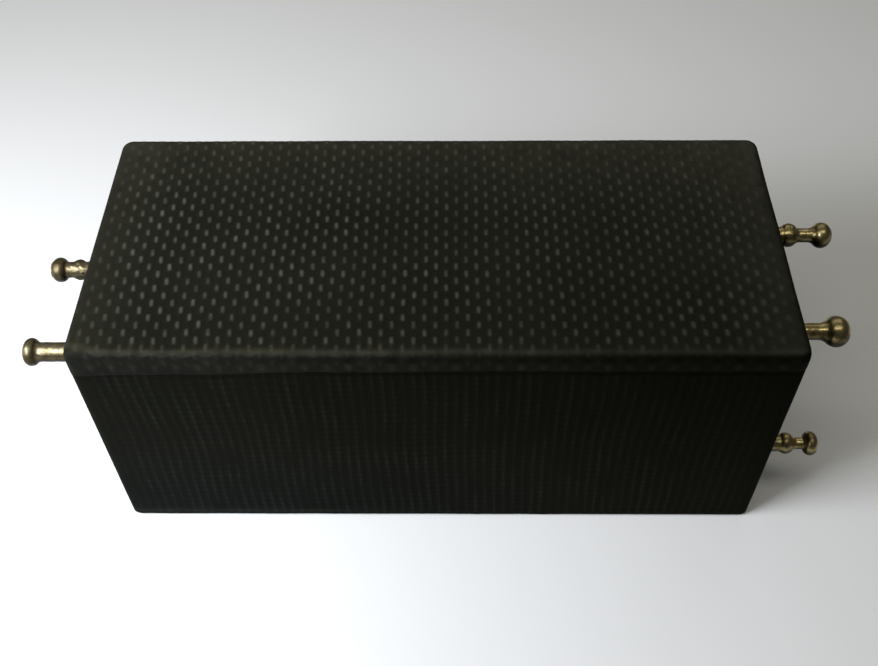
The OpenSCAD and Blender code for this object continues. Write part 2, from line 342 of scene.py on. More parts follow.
# %% Lap edge and rows
PLY = 0.3 * MM
LAP_LEFT = 4.5 * MM
LAP_RIGHT = 3.3 * MM
LAP_CURVE = 3
LAP_SWAY = 0.22 * MM
LAP_SWAY_LONG = 11 * MM
LAP_FRAY = 0.10 * MM
LAP_FRAY_LONG = 1.5 * MM
CUT_EDGE = 0.25 * MM
CUT_BACK = 0.45 * PLY

row_height = core_size.z / FRONT_ROWS
lap_row = round((core_size.z + EDGE_ROUND - (LAP_LEFT + LAP_RIGHT) / 2) / row_height)


def ripple(x, long, lane):
    """Noise along the block that changes over a length. Each lane is a noise of its own."""
    return noise.noise(Vector((x / long, lane, 0)))


def lap_height(x):
    """The height of the lap's ragged edge above the floor."""
    from_right = (block_high.x - x) / block_size.x
    drop = LAP_RIGHT + (LAP_LEFT - LAP_RIGHT) * from_right ** LAP_CURVE
    sway = LAP_SWAY * ripple(x, LAP_SWAY_LONG, 3.1)
    fray = LAP_FRAY * ripple(x, LAP_FRAY_LONG, 7.7)
    return block_high.z - drop + sway + fray


def slide_to_lap(z, x):
    """A front vertex's new height, and how far back it stands."""
    row = round((z - core_low.z) / row_height)
    edge = lap_height(x)
    if row > lap_row:
        start = edge + CUT_EDGE
        return start + (core_high.z - start) * (row - lap_row - 1) / (FRONT_ROWS - lap_row - 1), 0
    if row == lap_row:
        return edge, CUT_BACK
    return core_low.z + (edge - CUT_EDGE - core_low.z) * row / (lap_row - 1), PLY


print("The lap's edge is row", lap_row, "of", FRONT_ROWS)

# %% [markdown]
# ## Rubbed edge and painted highlight
# The front edge of the top is paler, most of all towards the left. This is partly rubbed by hands and partly
# a painted highlight on the edge's rounding, which dims towards the right. This doesn't repeat, so a texture
# can't give it. Each vertex keeps three amounts in an attribute that the material reads: rub or painted
# light, painted shade or darkening, and a painted cool light. The pale band follows the way round the girth,
# its lower limit is scalloped by the yarns, and pale smears run back from it along single yarns.

# %% Rubbed edge and painted highlight
EDGE_AT = 0.35 * EDGE_ROUND
EDGE_RUB_AND_HIGHLIGHT_ABOVE = 0.8 * MM
EDGE_RUB_AND_HIGHLIGHT_BELOW = 0.7 * MM
EDGE_RUB_AND_HIGHLIGHT_SOFT = 0.35 * MM
EDGE_SCALLOP = 0.16 * MM
EDGE_HIGHLIGHT_DIMS = (-25 * MM, 30 * MM)
EDGE_HIGHLIGHT_DIMMED = 0.65
EDGE_THINNED = 0.5
EDGE_WANDER = 0.15 * MM
EDGE_WANDER_LONG = 9 * MM
CORNER_NEAR = (5 * MM, 0.5 * MM)
CORNER_TURN = 1 * MM
KNOT_LONG = 1.3 * MM
SMEAR = 2.6 * MM
SMEAR_SHOWS = 0.55
SMEAR_WIDE = 1.7 * MM


def edge_rub_and_highlight(x, round_it, yarn):
    """Rub and painted highlight on the top's front edge: a wandering band, with smears along the yarns behind
    it.
    """
    # The painted highlight dims towards the right, where less light falls.
    rightward = smoothstep(*EDGE_HIGHLIGHT_DIMS, x)
    at_corner = smoothstep(*CORNER_NEAR, x - block_low.x)
    wander = EDGE_WANDER * ripple(x, EDGE_WANDER_LONG, 2.3)
    past = round_it - core_size.y / 2 - EDGE_AT + at_corner * CORNER_TURN - wander
    on_yarn = math.cos(math.pi * yarn)
    foot = EDGE_RUB_AND_HIGHLIGHT_BELOW * (1 - EDGE_THINNED * rightward) + EDGE_SCALLOP * on_yarn
    knots = 0.45 + 0.3 * ripple(x, KNOT_LONG, 8.1)
    along = smoothstep(-EDGE_RUB_AND_HIGHLIGHT_ABOVE, -0.1 * MM, past)
    smear = SMEAR_SHOWS * smoothstep(-SMEAR, -0.3 * MM, past) * on_yarn ** 4
    rubbed = max(along * knots, smear * (0.4 + ripple(x, SMEAR_WIDE, 4.6)))
    return rubbed * smoothstep(foot, foot - EDGE_RUB_AND_HIGHLIGHT_SOFT, past) * (1 - EDGE_HIGHLIGHT_DIMMED * rightward)


print("Rubbed at the middle of the front edge:", round(edge_rub_and_highlight(0, core_size.y / 2, 0), 2))

# %% [markdown]
# ## Haze and the darker front half
# A pale grey haze lies on the top along its rear and its ends. It is partly dust and partly a painted sheen,
# strongest along the rear. The top is also darker over its front half. Noise would scatter them evenly, so
# each is a soft ramp that starts from an edge.

# %% Haze and the darker front half
ENDS_HAZY = (12 * MM, 0)
ENDS_HAZE = 0.16
REAR_SHEEN_FADES = (18 * MM, 0)
REAR_SHEEN = 0.22
REAR_RIM = (4.5 * MM, 0.5 * MM)
REAR_RIM_SHEEN = 0.13
RIGHT_HALF = (-10 * MM, 20 * MM)
RIGHT_REAR = (19 * MM, 2 * MM)
RIGHT_REAR_SHEEN = 0.13
RIGHT_END = (20 * MM, 44 * MM)
BEHIND_FRONT = (-20 * MM, 4 * MM)
RIGHT_END_HAZE = 0.12
DARKER_FRONTWARD = (0, -16 * MM)
DARKER_UNTIL_END = (44 * MM, 30 * MM)
FRONT_HALF_DARK = 0.13


def dust_and_sheen(place, out):
    """How much pale grey lies on the top along its rear and its ends: partly dust, partly painted sheen."""
    from_end = block_size.x / 2 - abs(place.x)
    from_rear = block_high.y - place.y
    at_right = RIGHT_END_HAZE * smoothstep(*RIGHT_END, place.x) * smoothstep(*BEHIND_FRONT, place.y)
    at_ends = ENDS_HAZE * smoothstep(*ENDS_HAZY, from_end)
    at_rear = REAR_SHEEN * smoothstep(*REAR_SHEEN_FADES, from_rear) + REAR_RIM_SHEEN * smoothstep(*REAR_RIM, from_rear)
    at_rear += RIGHT_REAR_SHEEN * smoothstep(*RIGHT_HALF, place.x) * smoothstep(*RIGHT_REAR, from_rear)
    return (at_right + at_ends + at_rear) * max(out.z, 0)


def front_half_darkening(place, out):
    """How much darker the front half of the top is, except at its right end."""
    frontward = smoothstep(*DARKER_FRONTWARD, place.y)
    return FRONT_HALF_DARK * frontward * smoothstep(*DARKER_UNTIL_END, place.x) * max(out.z, 0)


print("Haze at the middle of the rear edge:",
      round(dust_and_sheen(Vector((0, block_high.y, block_high.z)), Vector((0, 0, 1))), 2))

# %% [markdown]
# ## Light and shade on the lap
# The lap's band is paler at the left, a painted light, and darker towards the right, a painted shade. A
# painted shadow lies in a groove below the edge, and the yarns part it into dark ovals, with pale dots in the
# row below.
# They are drawn with the same yarn count as the relief, so they fall on every second yarn. The whole front,
# lap and all, gets a painted cool light at the lower left.

# %% Light and shade on the lap
COOL_LEFT = (25 * MM, -40 * MM)
LEFT_COOL = 0.5
COOL_FOOT = (18 * MM, 2 * MM)
COOL_FOOT_LEFT = (34 * MM, -20 * MM)
FOOT_COOL = 0.75
FRONT_FACING = (-0.3, -0.9)
LAP_SHADE_GROWS = (-36 * MM, 40 * MM)
LAP_SHADE = 0.04
LAP_SHADE_RIGHT = 0.7
LAP_LIGHT = 0.08
LAP_LIGHT_DIMS = 0.75
BLOB_SIZE = 1.5 * MM
BLOB_PALE = 0.35
GROOVE_DOWN = 1.2 * MM
GROOVE_HALF = 0.85 * MM
GROOVE_STARTS = (-34 * MM, -6 * MM)
GROOVE_SHADOW = 0.5
GROOVE_LOST = 0.6
DOT_DOWN = 2.4 * MM
DOT_HALF = 0.8 * MM
DOTS_GROW = (-30 * MM, 5 * MM)
DOT_PALE = 0.35
DOT_PALER = 0.3
LUMP_LONG = 3 * MM


def front_cool_light(place, out):
    """How much painted cool light the front's grey gets: most at the lower left."""
    leftward = LEFT_COOL * smoothstep(*COOL_LEFT, place.x)
    at_foot = FOOT_COOL * smoothstep(*COOL_FOOT, place.z) * smoothstep(*COOL_FOOT_LEFT, place.x)
    return (leftward + at_foot) * smoothstep(*FRONT_FACING, out.y)


def lap_light_and_shade(place, out, yarn, edge):
    """Painted light, shade and cool light on the lap: pale at the left with blobs, dark at the right and in
    the groove.
    """
    rightward = smoothstep(*LAP_SHADE_GROWS, place.x)
    turned_down = 0.7 + 0.28 * rightward
    below_edge = smoothstep(turned_down, turned_down - 0.6, out.z)
    blob = max(noise.noise(place / BLOB_SIZE), 0)
    pale = (LAP_LIGHT + BLOB_PALE * blob) * (1 - LAP_LIGHT_DIMS * rightward) * below_edge
    on_yarn = math.cos(math.pi * yarn)
    lump = 0.5 - 0.5 * on_yarn
    uneven = 0.8 + 0.7 * ripple(place.x, LUMP_LONG, 3.3)
    groove_at = block_high.z - GROOVE_DOWN - EDGE_SCALLOP * on_yarn
    groove = smoothstep(GROOVE_HALF, 0, abs(place.z - groove_at)) * smoothstep(*GROOVE_STARTS, place.x)
    groove *= 0.1 + 1.2 * lump * uneven
    dots = smoothstep(DOT_HALF, 0, abs(block_high.z - DOT_DOWN - place.z)) * lump ** 3 * uneven
    pale += (DOT_PALE + DOT_PALER * smoothstep(*DOTS_GROW, place.x)) * dots
    shade_and_dark = (LAP_SHADE + LAP_SHADE_RIGHT * rightward) * below_edge
    shade_and_dark += GROOVE_SHADOW * groove * (1 - GROOVE_LOST * rightward)
    return Vector((edge + pale, min(shade_and_dark, 1), front_cool_light(place, out)))


facing_front = Vector((0, -1, 0))
on_lap = Vector((0, block_low.y, block_high.z - GROOVE_DOWN))
print("Wear in the lap's groove:", [round(value, 2) for value in lap_light_and_shade(on_lap, facing_front, 1, 0)])

# %% [markdown]
# ## Light and shade below the lap
# The whole front is painted a little darker. Under the lap it is darkest close to the lap, a painted shadow,
# and darker at the right, a painted shade. It is paler at the left, a painted light, with a painted highlight
# along the foot on the left. Here too, soft ramps along and down the front are enough.

# %% Light and shade below the lap
FRONT_SHADE = 0.27
UNDER_LAP = (1.6 * MM, 0)
UNDER_LAP_SHADOW = 0.32
DOWN_FRONT = (38 * MM, 0)
DOWN_FRONT_SHADE = 0.37
LIGHT_FROM_LEFT = (48 * MM, 0)
LEFT_LIT = 0.28
LEFT_LIGHT = 0.1
SHADE_TO_RIGHT = (-4 * MM, 36 * MM)
RIGHT_SHADE = 0.2
FOOT_UP = 1.3 * MM
FOOT_HALF = 0.9 * MM
FOOT_LEFT = (12 * MM, -30 * MM)
FOOT_HIGHLIGHT = 0.45


def front_light_and_shade(place, out):
    """Painted light, shade and cool light below the lap: dark close under it and at the right, paler at the
    foot.
    """
    under = lap_height(place.x) - place.z
    leftward = smoothstep(*LIGHT_FROM_LEFT, place.x - block_low.x)
    foot = FOOT_HIGHLIGHT * smoothstep(FOOT_HALF, 0, abs(place.z - FOOT_UP)) * smoothstep(*FOOT_LEFT, place.x)
    shade_and_dark = FRONT_SHADE + UNDER_LAP_SHADOW * smoothstep(*UNDER_LAP, under)
    shade_and_dark += DOWN_FRONT_SHADE * smoothstep(*DOWN_FRONT, under)
    shade_and_dark = shade_and_dark * (1 - LEFT_LIT * leftward) + RIGHT_SHADE * smoothstep(*SHADE_TO_RIGHT, place.x)
    return Vector((foot + LEFT_LIGHT * leftward, min(shade_and_dark, 1), front_cool_light(place, out)))


below_lap = Vector((0, block_low.y, 30 * MM))
print("Wear below the lap:", [round(value, 2) for value in front_light_and_shade(below_lap, facing_front)])

# %% [markdown]
# ## Relief
# Each vertex moves out by the height of the weave: staggered crowns on top, where one yarn goes over the
# next, and upright ribs on the front and rear. The yarns also waver a little, so the rings and rows shift
# with them, and the cloth sags slowly between. The top corners are worn rounder than the edges that meet
# there. The bottom, on which the block rests, has no relief.

# %% Relief
WAVER = 0.16 * MM
SAG = 0.09 * MM
SAG_LONG = 8 * MM
CROWN_SHARE = 0.7
RIDGE_SHARE = 0.3
OFF_BOTTOM = (-0.95, -0.3)
CORNER_REACH = 1.6 * MM
CORNER_WORN = 0.22 * MM


def relief_at(yarn, pick, upright, shows, place, out):
    """How far the surface stands out: crowns on top, ribs on the upright sides, and a slow sag."""
    over = max(math.cos(math.pi * yarn) * math.cos(math.pi * pick), 0)
    ridge = math.cos(math.pi * yarn) ** 2
    crowns = CROWN_SHARE * over + RIDGE_SHARE * ridge
    ribs = RIDGE_SHARE * ridge
    woven = crowns * (1 - upright) + ribs * upright
    sag = SAG * (0.5 + 0.5 * noise.noise(place / SAG_LONG))
    return (CROWN * woven * shows - sag) * smoothstep(*OFF_BOTTOM, out.z)


def waver_at(yarn, pick, out, free):
    """How far a yarn strays sideways, within the surface. Near an end it isn't free to."""
    stray = Vector((noise.noise(Vector((yarn * 0.23, pick * 0.17, 1.7))),
                    noise.noise(Vector((yarn * 0.19, pick * 0.21, 5.2))), 0)) * WAVER * free
    return stray - out * stray.dot(out)


def corner_ease(place):
    """How far a top corner is worn in: it is rounder than the edges that meet there."""
    from_end = block_size.x / 2 - abs(place.x)
    aside = place.y - block_middle.y
    from_side = block_size.y / 2 - abs(aside)
    near = smoothstep(CORNER_REACH, 0, from_end) * smoothstep(CORNER_REACH, 0, from_side)
    depth = CORNER_WORN * near * smoothstep(CORNER_REACH, 0, block_high.z - place.z)
    return Vector((-math.copysign(depth, place.x), -math.copysign(depth, aside), -depth / 2))


print("A top corner goes down by", round(-corner_ease(block_high).z / MM, 2), "mm")

# %% [markdown]
# ## Weave the block
# Now every vertex gets its place in the cloth: how many yarns along, how many picks round the girth, and how
# plainly the weave shows. These weave coordinates are kept as an attribute, so the material draws its crowns
# on the raised ones. A second attribute says how upright the cloth is, and a third holds the wear and the
# painted light and shade.

# %% Weave the block
NEAR = 0.01 * MM
NEAR_EDGE = 0.01
TURNS_UPRIGHT = (0.9, 0.3)
LAP_FILLS = (0.9, 0.4)
LAP_FILLED = 0.5
ENDS_FREE = (0, 5 * MM)
SWAY = 0.6 * MM
SWAY_LONG = 21 * MM
SWAY_HIGH = 17 * MM
YARN_OFFSET = 0.4
PICK_OFFSET = 0.83


def lay_on_lap(place):
    """A vertex's place once the front's rows have slid, how far back it stands, and its region."""
    out, core = outward(place)
    if core.y >= core_low.y + NEAR or out.y >= -NEAR_EDGE:
        return place, 0, "open cloth"
    if core_low.z - NEAR < place.z < core_high.z + NEAR:
        place.z, back = slide_to_lap(place.z, place.x)
        return place, back, "lap" if back < PLY else "below lap"
    if place.z < block_middle.z:
        return place, PLY, "below lap"
    return place, 0, "lap"


def light_shade_and_wear_at(place, out, round_it, yarn, region):
    """Rub or painted light, painted shade or darkening, and painted cool light at a place on the wrap."""
    if region == "below lap":
        return front_light_and_shade(place, out)
    rubbed = edge_rub_and_highlight(place.x, round_it, yarn) + dust_and_sheen(place, out)
    if region == "lap":
        return lap_light_and_shade(place, out, yarn, rubbed)
    return Vector((rubbed, front_half_darkening(place, out), 0))


weave_layer = bm.verts.layers.float_vector.new("weave")
rib_layer = bm.verts.layers.float.new("rib")
light_shade_wear_layer = bm.verts.layers.float_vector.new("wear_light_and_shade")
for vert in bm.verts:
    place, back, region = lay_on_lap(vert.co.copy())
    out, core = outward(place)
    round_it = girth(out, core)
    upright = 0 if region == "lap" else smoothstep(*TURNS_UPRIGHT, out.z)
    sway = SWAY * noise.noise(Vector((place.x / SWAY_LONG, 6.3, place.z / SWAY_HIGH)))
    yarn = (place.x - core_low.x + upright * sway) / yarn_pitch - YARN_OFFSET
    pick = (round_it + core_size.y / 2) / pick_pitch - PICK_OFFSET
    shows = weave_shows(place, upright)
    if region == "lap":
        shows = shows * (1 - LAP_FILLED * smoothstep(*LAP_FILLS, out.z))
    free = smoothstep(*ENDS_FREE, block_size.x / 2 - abs(place.x))
    moved = out * relief_at(yarn, pick, upright, shows, place, out)
    step_back = Vector((0, back * abs(out.y), 0))
    vert[weave_layer] = Vector((yarn, pick, shows))
    vert[rib_layer] = upright
    vert[light_shade_wear_layer] = light_shade_and_wear_at(place, out, round_it, yarn, region)
    vert.co = place + moved + waver_at(yarn, pick, out, free) + corner_ease(place) + step_back
print("Relief on", len(bm.verts), "vertices")

# %% [markdown]
# ## Cut ends and the inside of the tube
# At each end the cloth was sawn through, which leaves a thin flat ring. The open edges are extruded inwards
# to the tube's inner wall, and the two inner loops are bridged, so the wrap is a closed solid with a real
# thickness. A Solidify modifier would keep the weave on the inside too, which nobody sees.

# %% Close the tube
CREASE = math.radians(50)


def shade_smooth(bm):
    """Point the faces outwards and shade them smooth, except across a crease."""
    bmesh.ops.recalc_face_normals(bm, faces=bm.faces[:])
    for edge in bm.edges:
        edge.smooth = edge.calc_face_angle(0) < CREASE
    for face in bm.faces:
        face.smooth = True


def finish_piece(bm, name, material):
    """Turn a bmesh into a piece of the object that rides on the frame."""
    open_edges = sum(edge.is_boundary for edge in bm.edges)
    volume = bm.calc_volume(signed=True) / MM ** 3
    mesh = bpy.data.meshes.new(name)
    bm.to_mesh(mesh)
    bm.free()
    mesh.materials.append(material)
    piece = bpy.data.objects.new(name, mesh)
    scene.collection.objects.link(piece)
    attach(piece, "root")
    print(name, "faces:", len(mesh.polygons), "open edges:", open_edges, "cubic mm:", round(volume, 1))
    return piece


inner_low = block_low + Vector((0, WALL + PLY, WALL))
inner_high = block_high - Vector((0, WALL, WALL))
rims = [edge for edge in bm.edges if edge.is_boundary]
rings = bmesh.ops.extrude_edge_only(bm, edges=rims)["geom"]
for vert in [item for item in rings if isinstance(item, bmesh.types.BMVert)]:
    vert.co.y = min(max(vert.co.y, inner_low.y), inner_high.y)
    vert.co.z = min(max(vert.co.z, inner_low.z), inner_high.z)
    vert.co.x = math.copysign(block_size.x / 2, vert.co.x)
inner_loops = [item for item in rings if isinstance(item, bmesh.types.BMEdge)]
bmesh.ops.bridge_loops(bm, edges=inner_loops)
shade_smooth(bm)
print("Open edges left:", sum(edge.is_boundary for edge in bm.edges))

# %% [markdown]
# ## Epoxy-soaked glass cloth
# Black epoxy in glass cloth is nearly black with a warm green cast. Where a yarn comes up over its neighbour
# the resin is thin and rubbed, so the crowns are a paler grey, and their paleness is partly a painted
# highlight.
# The weave coordinates draw the crowns: the product of two cosines is highest at every second crossing, and a
# power narrows it across the yarn, which gives short soft-edged dashes that point from front to back. They
# lean a little at the left, and are rounder and fainter at the right front.

# %% Dashes on top
DASH_LEAN = 0.11
DASH_OVERRUN = -0.3
DASH_TAPER = 0.7
DASH_NARROW = 4.4
DASH_ROUND = 2.1
DASH_SHOWS = 0.84
DASH_FAINT = 0.58

# Cloth soaked in black epoxy: a dull olive black with pale grey crowns, partly a painted highlight, painted
# light and shade on its front and edges, and no gloss to speak of.
epoxy_cloth, tree, shader = new_material("epoxy_soaked_glass_cloth")
weave = add(tree, "Attribute", {}, attribute_name="weave")
yarn, pick, shows = add(tree, "SeparateXYZ", {0: weave.outputs["Vector"]}).outputs
place = add(tree, "TexCoord", {}).outputs["Object"]
spot = add(tree, "SeparateXYZ", {0: place})
pick_row = add(tree, "Math", {0: pick}, operation="ROUND")
off_row = add(tree, "Math", {0: pick, 1: pick_row}, operation="SUBTRACT")
leans = add(tree, "MapRange", {"Value": spot.outputs[0], "From Min": 5 * MM, "From Max": -30 * MM,
                               "To Max": -DASH_LEAN})
leaning = add(tree, "Math", {0: off_row, 1: leans, 2: yarn}, operation="MULTIPLY_ADD")
yarn_turn = add(tree, "Math", {0: leaning, 1: math.pi}, operation="MULTIPLY")
pick_turn = add(tree, "Math", {0: pick, 1: math.pi}, operation="MULTIPLY")
yarn_wave = add(tree, "Math", {0: yarn_turn}, operation="COSINE")
pick_wave = add(tree, "Math", {0: pick_turn}, operation="COSINE")
crossing = add(tree, "Math", {0: yarn_wave, 1: pick_wave}, operation="MULTIPLY")
over_side = add(tree, "MapRange", {"Value": crossing, "From Min": DASH_OVERRUN})
over_long = add(tree, "Math", {0: over_side, 1: DASH_TAPER}, operation="POWER")
rightward = add(tree, "MapRange", {"Value": spot.outputs[0], "From Min": 5 * MM, "From Max": 40 * MM})
frontward = add(tree, "MapRange", {"Value": spot.outputs[1], "From Min": 10 * MM, "From Max": -12 * MM})
right_front_share = add(tree, "Math", {0: rightward, 1: frontward}, operation="MULTIPLY")
narrowness = add(tree, "MapRange", {"Value": right_front_share, "To Min": DASH_NARROW, "To Max": DASH_ROUND})
yarn_height = add(tree, "Math", {0: yarn_wave}, operation="ABSOLUTE")
yarn_narrow = add(tree, "Math", {0: yarn_height, 1: narrowness}, operation="POWER")
over = add(tree, "Math", {0: over_long, 1: yarn_narrow}, operation="MULTIPLY")
faded = add(tree, "MapRange", {"Value": right_front_share, "To Min": DASH_SHOWS, "To Max": DASH_FAINT})
dash = add(tree, "MapRange", {"Value": over, "To Max": faded}, interpolation_type="SMOOTHSTEP")
print("A dash is about", round(pick_pitch / MM, 1), "mm long")

# %% [markdown]
# ## Ribs on the sides
# On the front and rear the same yarns read as fine upright ribs, with a faint bead wherever a pick crosses
# them. The rows of picks aren't quite level, so a cloudy noise bends them. The rib attribute then blends from
# the dashes to the ribs over the edges, and a finer noise rubs both unevenly.

# %% Ribs on the sides
RIB_SHOWS = 0.18
RIB_FINE = 6.0
ROW_SHOWS = 0.2
ROW_WAVES = 3.0
CLOUD_SIZE = 14 * MM
RUB_SIZE = 1.7 * MM

rib = add(tree, "Attribute", {}, attribute_name="rib")
rib_turn = add(tree, "Math", {0: yarn, 1: math.pi}, operation="MULTIPLY")
rib_wave = add(tree, "Math", {0: rib_turn}, operation="COSINE")
rib_height = add(tree, "Math", {0: rib_wave}, operation="ABSOLUTE")
rib_fine = add(tree, "Math", {0: rib_height, 1: RIB_FINE}, operation="POWER")
cloud = add(tree, "TexNoise", {"Vector": place, "Scale": 1 / CLOUD_SIZE, "Detail": 4.0})
wavy_row = add(tree, "Math", {0: cloud, 1: ROW_WAVES, 2: pick}, operation="MULTIPLY_ADD")
row_turn = add(tree, "Math", {0: wavy_row, 1: math.pi}, operation="MULTIPLY")
row_wave = add(tree, "Math", {0: row_turn}, operation="COSINE")
pick_height = add(tree, "Math", {0: row_wave}, operation="ABSOLUTE")
pick_fine = add(tree, "Math", {0: pick_height, 1: RIB_FINE}, operation="POWER")
beads = add(tree, "MapRange", {"Value": pick_height, "To Min": 0.4 * RIB_SHOWS, "To Max": 1.3 * RIB_SHOWS})
beaded = add(tree, "Math", {0: rib_fine, 1: beads}, operation="MULTIPLY")
ribbed = add(tree, "Math", {0: pick_fine, 1: ROW_SHOWS * RIB_SHOWS, 2: beaded}, operation="MULTIPLY_ADD")
pattern = add(tree, "Mix", {0: rib.outputs["Fac"], 2: dash, 3: ribbed}, data_type="FLOAT")
shown = add(tree, "Math", {0: pattern, 1: shows}, operation="MULTIPLY")
rub = add(tree, "TexNoise", {"Vector": place, "Scale": 1 / RUB_SIZE, "Detail": 2.0})
rubbed = add(tree, "MapRange", {"Value": rub, "From Min": 0.3, "From Max": 0.7, "To Min": 0.45,
                                "To Max": 1.2})
pale_crown_and_highlight = add(tree, "Math", {0: shown, 1: rubbed}, operation="MULTIPLY", use_clamp=True)
print("A rib every", round(yarn_pitch / MM, 2), "mm")

# %% [markdown]
# ## Colour and gloss of the wrap
# The colour is built in layers: black resin with slow clouds in it, then the haze of dust and painted sheen
# and the rubbed edge with its painted highlight, then the pale crowns, partly a painted highlight, then the
# painted shade on the lap and down the front and the darker front half of the top, and last a painted cool
# light low on the front, where pale light from the floor reaches it. The resin is rubbed dull all over, so it
# hardly mirrors anything, and a fine grain breaks up what shine is left.

# %% Colour and gloss of the wrap
# The real grain is finer. This is as coarse as it has to be to show.
GRAIN_SIZE = 0.35 * MM

wear_light_and_shade = add(tree, "Attribute", {}, attribute_name="wear_light_and_shade")
# The attribute's three amounts: rub with painted light and sheen, painted shade with darkening, and a painted
# cool light.
worn, shade_and_dark, painted_cool = add(tree, "SeparateXYZ", {0: wear_light_and_shade.outputs["Vector"]}).outputs
resin_colour = add(tree, "Mix", {0: cloud, 6: linear("#161611"), 7: linear("#1F1F18")}, data_type="RGBA")
mottle = add(tree, "MapRange", {"Value": rub, "From Min": 0.3, "From Max": 0.7, "To Min": 0.55})
scuffed_and_lit = add(tree, "Math", {0: worn, 1: mottle}, operation="MULTIPLY", use_clamp=True)
# The pale colour is rubbed resin, dust, and a painted highlight, sheen and light.
rub_and_light_colour = add(tree, "Mix", {0: scuffed_and_lit, 6: resin_colour.outputs[2], 7: linear("#413F34")},
                  data_type="RGBA")
# The crowns are paler fibre and partly a painted highlight.
crown_and_highlight_colour = add(tree, "Mix", {0: pale_crown_and_highlight, 6: rub_and_light_colour.outputs[2], 7: linear("#4D4D43")},
                   data_type="RGBA")
# The dark colour is painted shade on the lap and the front, and the top's darker front half.
shade_and_dark_colour = add(tree, "Mix", {0: shade_and_dark, 6: crown_and_highlight_colour.outputs[2], 7: linear("#050600")},
                  data_type="RGBA")
# A painted cool light on the front, where pale light from the floor falls.
cool_light_mixed = add(tree, "Mix", {0: painted_cool, 6: shade_and_dark_colour.outputs[2], 7: linear("#DAE9FF")},
             data_type="RGBA", blend_type="MULTIPLY")
tree.links.new(cool_light_mixed.outputs[2], shader.inputs["Base Color"])
roughness = add(tree, "MapRange", {"Value": rub, "To Min": 0.4, "To Max": 0.65})
tree.links.new(roughness.outputs[0], shader.inputs["Roughness"])
grain = add(tree, "TexNoise", {"Vector": place, "Scale": 1 / GRAIN_SIZE, "Detail": 2.0})
bump = add(tree, "Bump", {"Height": grain, "Strength": 0.25, "Distance": 0.05 * MM})
tree.links.new(bump.outputs[0], shader.inputs["Normal"])
shader.inputs["Specular IOR Level"].default_value = 0.006
wrap = finish_piece(bm, "woven_wrap", epoxy_cloth)
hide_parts("cloth_wrap")

# %% [markdown]
# ## Cast epoxy in the ends
# The block was filled with black casting epoxy, which shows as a flat face a little inside each end. It sets
# glossy, with slow waves where it shrank and fine dust on top. So a coarse noise drives its bump, and a fine
# one its colour and gloss.

# %% Resin material
SHRINK_SIZE = 7 * MM
DUST_SIZE = 0.6 * MM

# Cast epoxy: a deep black that mirrors softly, greyed by specks of dust.
cast_epoxy, tree, shader = new_material("cast_black_epoxy")
place = add(tree, "TexCoord", {}).outputs["Object"]
shrink = add(tree, "TexNoise", {"Vector": place, "Scale": 1 / SHRINK_SIZE, "Detail": 2.0})
dust = add(tree, "TexNoise", {"Vector": place, "Scale": 1 / DUST_SIZE, "Detail": 3.0})
dusty = add(tree, "MapRange", {"Value": dust, "From Min": 0.5, "From Max": 0.8})
colour = add(tree, "Mix", {0: dusty, 6: linear("#14140F"), 7: linear("#2A2922")}, data_type="RGBA")
tree.links.new(colour.outputs[2], shader.inputs["Base Color"])
roughness = add(tree, "MapRange", {"Value": dust, "To Min": 0.2, "To Max": 0.5})
tree.links.new(roughness.outputs[0], shader.inputs["Roughness"])
bump = add(tree, "Bump", {"Height": shrink, "Strength": 0.5, "Distance": 0.2 * MM})
tree.links.new(bump.outputs[0], shader.inputs["Normal"])
shader.inputs["Specular IOR Level"].default_value = 0.3
print("Made", cast_epoxy.name)

# %% [markdown]
# ## Turned brass
# The terminals were turned from brass bar and have tarnished: yellow metal where hands and wires rub, and
# brown in patches. Their undersides are painted almost black, a painted shade. The lathe left fine rings
# round the axis, which runs along X, so a noise that is squeezed along X gives them, and a rounder noise
# gives small dents. Each terminal has a material of its own, because the underside is measured from its own
# axis. The left ones are greyer and rougher than the right ones, and darker, a painted shade under the strong
# lamp at the left; the right ones are paler, a painted light.

# %% Terminal material
TARNISH_SIZE = 1.6 * MM
# Real tool marks are finer. These are as coarse as they have to be to show.
TOOL_MARK = 0.12 * MM
# Round the axis a mark runs on for about 8 mm, which is 0.12 of a mark in each millimetre.
MARKS_ROUND = 0.12 / MM
DENT_SIZE = 0.75 * MM
UPPER_SIDE = 0.65
UNDERSIDE = -0.1
# The left tone is darker, a painted shade, and the right tone paler, a painted light. The last amount says
# how dark the undersides are painted, a painted shade.
BRASS = {
    "left": {"rubbed": "#8A8065", "smooth": 0.38, "rough": 0.52, "underside_shade": 0.88},
    "right": {"rubbed": "#C4B27E", "smooth": 0.26, "rough": 0.42, "underside_shade": 0.97},
}


